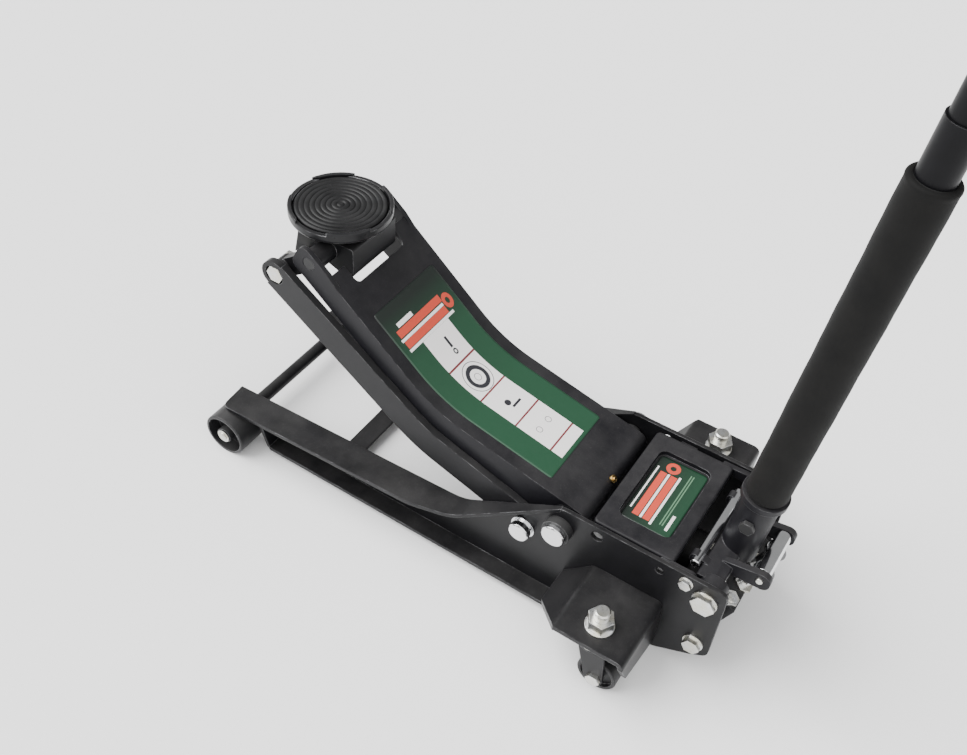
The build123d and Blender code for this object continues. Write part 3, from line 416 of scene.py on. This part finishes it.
zinc = plated("zinc", (0.66, 0.67, 0.68), (0.62, 0.60, 0.52), 0.3, 0.6)
finish_nodes(
    zinc,
    "caster_studs",
    "caster_nuts",
    "caster_races",
    "link_pins",
    "link_pin_nuts",
    "saddle_screw",
    "cover_bolts",
    "block_bolts",
    "handle_pivot_bolts",
    "relief_plug",
    "filler_plug",
    "spindle_clips",
    "wheel_spindles",
    "plunger_glands",
    "roller_pin",
    "caster_axle_left",
    "caster_axle_right",
    "lift_pin",
    "snap_button",
    "release_valve",
)
pin_oxide = sprayed("pin_oxide", (0.02, 0.02, 0.021), (0.03, 0.03, 0.03), 0.4, 0.9, 0.1)
finish_nodes(pin_oxide, "arm_pin", "main_shaft", "handle_screw")
chrome = plated("chrome", (0.78, 0.78, 0.79), (0.72, 0.73, 0.74), 0.16, 0.0)
finish_nodes(
    chrome,
    "main_shaft_caps",
    "link_pivot_bolts",
    "yoke_cross_shaft",
    "yoke_roller",
    "plungers",
    "plunger_heads",
    "ram_rod",
)
finish_nodes(plated("brass", (0.72, 0.5, 0.2), (0.62, 0.42, 0.16), 0.3, 0.3), "grease_nipple")

# ---- hydraulic unit ----------------------------------------------------------------------------
# The pump block and the barrel are cast iron under black enamel, oily and glossy, with a
# coarse sand-cast skin.
block_enamel = sprayed(
    "block_enamel", (0.008, 0.008, 0.009), (0.014, 0.014, 0.015), 0.3, 0.5, 0.3, 0.0015, 320.0
)
finish_nodes(block_enamel, "pump_block", "hydraulic_barrel", "ram_head")

# ---- wheels ------------------------------------------------------------------------------------
# Cast steel wheels with a thin disc between rim and hub. The black enamel has worn bright
# along their edges.
wheel_enamel = sprayed(
    "wheel_enamel", (0.012, 0.012, 0.013), (0.02, 0.02, 0.021), 0.38, 0.9, 0.3, 0.0014, 420.0
)
finish_nodes(
    wheel_enamel,
    "front_wheel_left",
    "front_wheel_right",
    "caster_wheel_left",
    "caster_wheel_right",
)

# ---- handle tubes ------------------------------------------------------------------------------
# Two drawn steel tubes, one inside the other, in satin black. Their coat is smoother than the
# frame's.
tube_coat = sprayed(
    "tube_coat", (0.0035, 0.0035, 0.0042), (0.005, 0.005, 0.006), 0.4, 0.3, 0.0, 0.0008, 1200.0
)
tube_coat.node_tree.nodes["Principled BSDF"].inputs["Specular IOR Level"].default_value = 0.12
finish_nodes(tube_coat, "lower_tube", "upper_tube")

# ---- foam sleeve -------------------------------------------------------------------------------
# A closed-cell foam tube pushed over the lower tube, so that the handle doesn't mark paint.
# It is matt and a little uneven along its length, with rounded ends.
twist = next(joint for joint in frame["joints"] if joint["name"] == "handle_twist")
handle_axis = Vector(twist["axis"]).normalized()
handle_foot = Vector(twist["pos_m"])
sleeve_low, sleeve_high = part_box("foam_sleeve")
sleeve_radius = (sleeve_high.y - sleeve_low.y) / 2
tube_low, tube_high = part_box("lower_tube")
tube_radius = (tube_high.y - tube_low.y) / 2


def span_on_handle(low, high, radius):
    """Start and end distances along the handle of a round piece with this box."""
    tip = radius * math.sqrt(1 - handle_axis.z ** 2)
    return (low.z + tip - handle_foot.z) / handle_axis.z, (high.z - tip - handle_foot.z) / handle_axis.z


sleeve_start, sleeve_end = span_on_handle(sleeve_low, sleeve_high, sleeve_radius)
wall_rings = 160
lip = 0.0035
bore = tube_radius + 0.0001
sleeve_profile = [(bore, sleeve_start), (sleeve_radius - lip, sleeve_start)]
for i in range(5):
    angle = math.pi / 2 * i / 4
    sleeve_profile.append((
        sleeve_radius - lip + lip * math.sin(angle),
        sleeve_start + lip - lip * math.cos(angle),
    ))
for i in range(1, wall_rings):
    along = i / wall_rings
    height = sleeve_start + lip + (sleeve_end - sleeve_start - 2 * lip) * along
    waves = 0.00022 * math.sin(along * 23.0) + 0.00016 * math.sin(along * 61.0 + 1.0)
    sleeve_profile.append((sleeve_radius - 0.0003 + 0.6 * waves, height))
for i in range(5):
    angle = math.pi / 2 * i / 4
    sleeve_profile.append((
        sleeve_radius - lip + lip * math.cos(angle),
        sleeve_end - lip + lip * math.sin(angle),
    ))
sleeve_profile += [(bore, sleeve_end), (bore, sleeve_start)]
sleeve = lathe("foam_tube", sleeve_profile, handle_foot, handle_axis, 72)
foam, foam_tree, foam_shader = new_material("foam")
foam_place = foam_tree.nodes.new("ShaderNodeTexCoord").outputs["Object"]
cells = noise(foam_tree, foam_place, 1500.0, 2.0, 0.6)
mottle = ramp(foam_tree, noise(foam_tree, foam_place, 26.0, 5.0, 0.6), 0.3, 0.7)
foam_tone = blend_colour(foam_tree, mottle, (0.0045, 0.0045, 0.0046), (0.0075, 0.0073, 0.007))
foam_tree.links.new(foam_tone, foam_shader.inputs["Base Color"])
foam_rough = maths(foam_tree, "ADD", maths(foam_tree, "MULTIPLY", cells, 0.15), 0.62)
foam_tree.links.new(foam_rough, foam_shader.inputs["Roughness"])
foam_tree.links.new(bumped(foam_tree, cells, None, 0.35, 0.0004), foam_shader.inputs["Normal"])
foam_shader.inputs["Sheen Weight"].default_value = 0.02
foam_shader.inputs["Sheen Roughness"].default_value = 0.5
foam_shader.inputs["Specular IOR Level"].default_value = 0.1
sleeve.data.materials.append(foam)
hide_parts("foam_sleeve")
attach(sleeve, "handle")

# ---- hand grip ---------------------------------------------------------------------------------
# A moulded rubber grip pulled over the top of the handle, with rings for the fingers, a
# flange at its lower end and a rounded closed top.
grip_low, grip_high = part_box("hand_grip")
flange_radius = (grip_high.y - grip_low.y) / 2
grip_radius = flange_radius - 0.0025
tilt = math.sqrt(1 - handle_axis.z ** 2)
grip_start = (grip_low.z + flange_radius * tilt - handle_foot.z) / handle_axis.z
grip_end = (grip_high.z - grip_radius * tilt - handle_foot.z) / handle_axis.z
upper_low, upper_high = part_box("upper_tube")
upper_radius = (upper_high.y - upper_low.y) / 2
grip_profile = [(upper_radius, grip_start), (flange_radius - 0.001, grip_start)]
grip_profile += [(flange_radius, grip_start + 0.001)]
grip_profile += [(flange_radius, grip_start + 0.003), (flange_radius - 0.001, grip_start + 0.004)]
ring_pitch = 0.008
top_skin = 0.003
ring_samples = 150
dome = 0.006
ring_start, ring_end = grip_start + 0.006, grip_end - dome
for i in range(ring_samples + 1):
    height = ring_start + (ring_end - ring_start) * i / ring_samples
    groove = max(0.0, math.cos(math.tau * (height - ring_start) / ring_pitch)) ** 3
    grip_profile.append((grip_radius - 0.0011 * groove, height))
for i in range(1, 9):
    angle = math.pi / 2 * i / 8
    grip_profile.append((
        grip_radius - dome + dome * math.cos(angle) if i < 8 else grip_radius - dome,
        ring_end + dome * math.sin(angle),
    ))
grip_profile += [(0.0, grip_end), (0.0, grip_end - top_skin)]
grip_profile += [(upper_radius, grip_end - top_skin), (upper_radius, grip_start)]
grip = lathe("ringed_grip", grip_profile, handle_foot, handle_axis, 64)
grip_rubber = moulded_rubber("grip_rubber", (0.012, 0.012, 0.0125), (0.02, 0.02, 0.02), 0.55)
grip.data.materials.append(grip_rubber)
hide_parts("hand_grip")
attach(grip, "handle")

# ---- stickers -----------------------------------------------------------------------------------
# Printed vinyl: a long green one down the lift arm with a row of white fields, and a small one
# in the pump cover's recess. They carry plain bars and shapes only.


def print_box_group():
    """1 inside a rectangle of the sticker, 0 outside; X and Y are its middle."""
    group, given, result = tree_of(
        "print_box", {"X": 0.0, "Y": 0.0, "Half X": 0.01, "Half Y": 0.01}, {"Mask": "NodeSocketFloat"}
    )
    place = group.nodes.new("ShaderNodeTexCoord").outputs["Object"]
    split = group.nodes.new("ShaderNodeSeparateXYZ")
    group.links.new(place, split.inputs["Vector"])
    masks = []
    for letter in ("X", "Y"):
        offset = maths(group, "SUBTRACT", split.outputs[letter], given.outputs[letter])
        away = maths(group, "ABSOLUTE", offset)
        masks.append(maths(group, "LESS_THAN", away, given.outputs[f"Half {letter}"]))
    group.links.new(maths(group, "MULTIPLY", masks[0], masks[1]), result.inputs["Mask"])
    return group


def print_ring_group():
    """1 on a ring of the sticker, 0 elsewhere."""
    group, given, result = tree_of(
        "print_ring", {"X": 0.0, "Y": 0.0, "Inner": 0.005, "Outer": 0.01}, {"Mask": "NodeSocketFloat"}
    )
    place = group.nodes.new("ShaderNodeTexCoord").outputs["Object"]
    split = group.nodes.new("ShaderNodeSeparateXYZ")
    group.links.new(place, split.inputs["Vector"])
    squares = []
    for letter in ("X", "Y"):
        away = maths(group, "SUBTRACT", split.outputs[letter], given.outputs[letter])
        squares.append(maths(group, "MULTIPLY", away, away))
    length = maths(group, "SQRT", maths(group, "ADD", squares[0], squares[1]))
    inside = maths(group, "LESS_THAN", length, given.outputs["Outer"])
    outside = maths(group, "GREATER_THAN", length, given.outputs["Inner"])
    group.links.new(maths(group, "MULTIPLY", inside, outside), result.inputs["Mask"])
    return group


print_box, print_ring = print_box_group(), print_ring_group()
ink_green, ink_dark = (0.012, 0.055, 0.026), (0.007, 0.012, 0.009)
ink_white, ink_black = (0.82, 0.80, 0.79), (0.02, 0.02, 0.025)
ink_red, ink_wine = (0.55, 0.06, 0.035), (0.16, 0.025, 0.03)


def sticker_material(name, base_from, base_to, fade_start, fade_end, marks):
    """Marks are (ink, group, values) printed in order over a base that fades along X."""
    material, tree, shader = new_material(name)
    place = tree.nodes.new("ShaderNodeTexCoord").outputs["Object"]
    split = tree.nodes.new("ShaderNodeSeparateXYZ")
    tree.links.new(place, split.inputs["Vector"])
    colour = blend_colour(tree, ramp(tree, split.outputs["X"], fade_start, fade_end), base_from, base_to)
    for ink, group, values in marks:
        colour = blend_colour(tree, use_group(tree, group, **values)["Mask"], colour, ink)
    tree.links.new(colour, shader.inputs["Base Color"])
    gloss = noise(tree, place, 180.0, 3.0, 0.6)
    tree.links.new(maths(tree, "ADD", maths(tree, "MULTIPLY", gloss, 0.16), 0.3), shader.inputs["Roughness"])
    tree.links.new(bumped(tree, gloss, None, 0.05, 0.0003), shader.inputs["Normal"])
    return material


def laid_sheet(name, node, low, high, columns, rows, lift, corner):
    """A thin sheet over a rectangle, dropped along Z onto a CAD node, with cut corners."""
    source = bmesh.new()
    source.from_mesh(frame["nodes"][node].data)
    surface = BVHTree.FromBMesh(source)
    mesh = bmesh.new()
    grid = []
    for i in range(columns + 1):
        x = low[0] + (high[0] - low[0]) * i / columns
        line = []
        for j in range(rows + 1):
            y = low[1] + (high[1] - low[1]) * j / rows
            near_x = max(low[0] + corner, min(high[0] - corner, x))
            near_y = max(low[1] + corner, min(high[1] - corner, y))
            off = Vector((x - near_x, y - near_y))
            if off.length > corner:
                off *= corner / off.length
            spot = Vector((near_x + off.x, near_y + off.y, 1.0))
            hit, facing = surface.ray_cast(spot, Vector((0, 0, -1)))[:2]
            line.append(mesh.verts.new(hit + facing * lift))
        grid.append(line)
    for i in range(columns):
        for j in range(rows):
            mesh.faces.new((grid[i][j], grid[i + 1][j], grid[i + 1][j + 1], grid[i][j + 1]))
    bmesh.ops.recalc_face_normals(mesh, faces=mesh.faces)
    if sum(face.normal.z for face in mesh.faces) < 0:
        bmesh.ops.reverse_faces(mesh, faces=mesh.faces)
    for face in mesh.faces:
        face.smooth = True
    data = bpy.data.meshes.new(name)
    mesh.to_mesh(data)
    mesh.free()
    source.free()
    piece = bpy.data.objects.new(name, data)
    bpy.context.scene.collection.objects.link(piece)
    thick = piece.modifiers.new("thickness", "SOLIDIFY")
    thick.thickness, thick.offset = 0.0002, 1.0
    return piece


def from_axle(x):
    """A distance behind the front axle as an X coordinate."""
    return axle.x + x


arm_marks = [(ink_white, print_box, {"X": from_axle(0.3265), "Y": 0.0, "Half X": 0.0975, "Half Y": 0.0255})]
for x in (0.2675, 0.3120, 0.3605, 0.4085):
    arm_marks.append((ink_wine, print_box, {"X": from_axle(x), "Y": 0.0, "Half X": 0.0011, "Half Y": 0.0255}))
for x, half, middle, reach_y, ink in (
    (0.2030, 0.0022, -0.026, 0.014, ink_white),
    (0.2100, 0.0037, -0.006, 0.041, ink_red),
    (0.2163, 0.0014, -0.008, 0.041, ink_white),
    (0.2217, 0.0037, -0.007, 0.040, ink_red),
    (0.2275, 0.0014, -0.004, 0.044, ink_white),
):
    arm_marks.append((ink, print_box, {"X": from_axle(x), "Y": middle, "Half X": half, "Half Y": reach_y}))
arm_marks += [
    (ink_red, print_ring, {"X": from_axle(0.2165), "Y": 0.0425, "Inner": 0.0032, "Outer": 0.0078}),
    (ink_black, print_ring, {"X": from_axle(0.2910), "Y": 0.0, "Inner": 0.0098, "Outer": 0.0150}),
    (ink_black, print_ring, {"X": from_axle(0.2910), "Y": 0.0, "Inner": 0.0186, "Outer": 0.0194}),
    (ink_black, print_ring, {"X": from_axle(0.2910), "Y": 0.0, "Inner": 0.0040, "Outer": 0.0046}),
    (ink_black, print_box, {"X": from_axle(0.2450), "Y": 0.004, "Half X": 0.0060, "Half Y": 0.0018}),
    (ink_black, print_ring, {"X": from_axle(0.2560), "Y": 0.004, "Inner": 0.0016, "Outer": 0.0034}),
    (ink_black, print_ring, {"X": from_axle(0.3360), "Y": -0.004, "Inner": 0.0, "Outer": 0.0042}),
    (ink_black, print_box, {"X": from_axle(0.3440), "Y": 0.0035, "Half X": 0.0015, "Half Y": 0.0080}),
    (ink_black, print_ring, {"X": from_axle(0.3840), "Y": -0.010, "Inner": 0.0034, "Outer": 0.0041}),
    (ink_black, print_ring, {"X": from_axle(0.3840), "Y": 0.010, "Inner": 0.0034, "Outer": 0.0041}),
]
arm_print = sticker_material("arm_print", ink_dark, ink_green, from_axle(0.19), from_axle(0.24), arm_marks)
arm_sticker = laid_sheet(
    "arm_sticker",
    "lift_arm",
    low=(from_axle(0.182), -0.058),
    high=(from_axle(0.429), 0.058),
    columns=120,
    rows=40,
    lift=0.00015,
    corner=0.003,
)
arm_sticker.data.materials.append(arm_print)
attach(arm_sticker, "lift_arm")

cover_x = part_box("pump_cover")[0].x
cover_marks = []
for x, half, middle, reach_y, ink in (
    (0.0240, 0.0010, 0.000, 0.036, ink_white),
    (0.0330, 0.0040, -0.006, 0.037, ink_red),
    (0.0395, 0.0014, -0.006, 0.037, ink_white),
    (0.0460, 0.0040, -0.006, 0.037, ink_red),
    (0.0525, 0.0014, -0.006, 0.040, ink_white),
    (0.0620, 0.0007, 0.002, 0.042, (0.1, 0.2, 0.12)),
    (0.0650, 0.0007, 0.002, 0.042, (0.1, 0.2, 0.12)),
    (0.0710, 0.0018, -0.032, 0.012, ink_white),
):
    cover_marks.append((ink, print_box, {"X": cover_x + x, "Y": middle, "Half X": half, "Half Y": reach_y}))
cover_marks.append(
    (ink_red, print_ring, {"X": cover_x + 0.0400, "Y": 0.0415, "Inner": 0.0035, "Outer": 0.0085})
)
cover_print = sticker_material(
    "cover_print", ink_dark, ink_green, cover_x + 0.02, cover_x + 0.09, cover_marks
)
cover_sticker = laid_sheet(
    "cover_sticker",
    "pump_cover",
    low=(cover_x + 0.0195, -0.0535),
    high=(cover_x + 0.0795, 0.0535),
    columns=30,
    rows=40,
    lift=0.00015,
    corner=0.006,
)
cover_sticker.data.materials.append(cover_print)
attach(cover_sticker, "chassis")
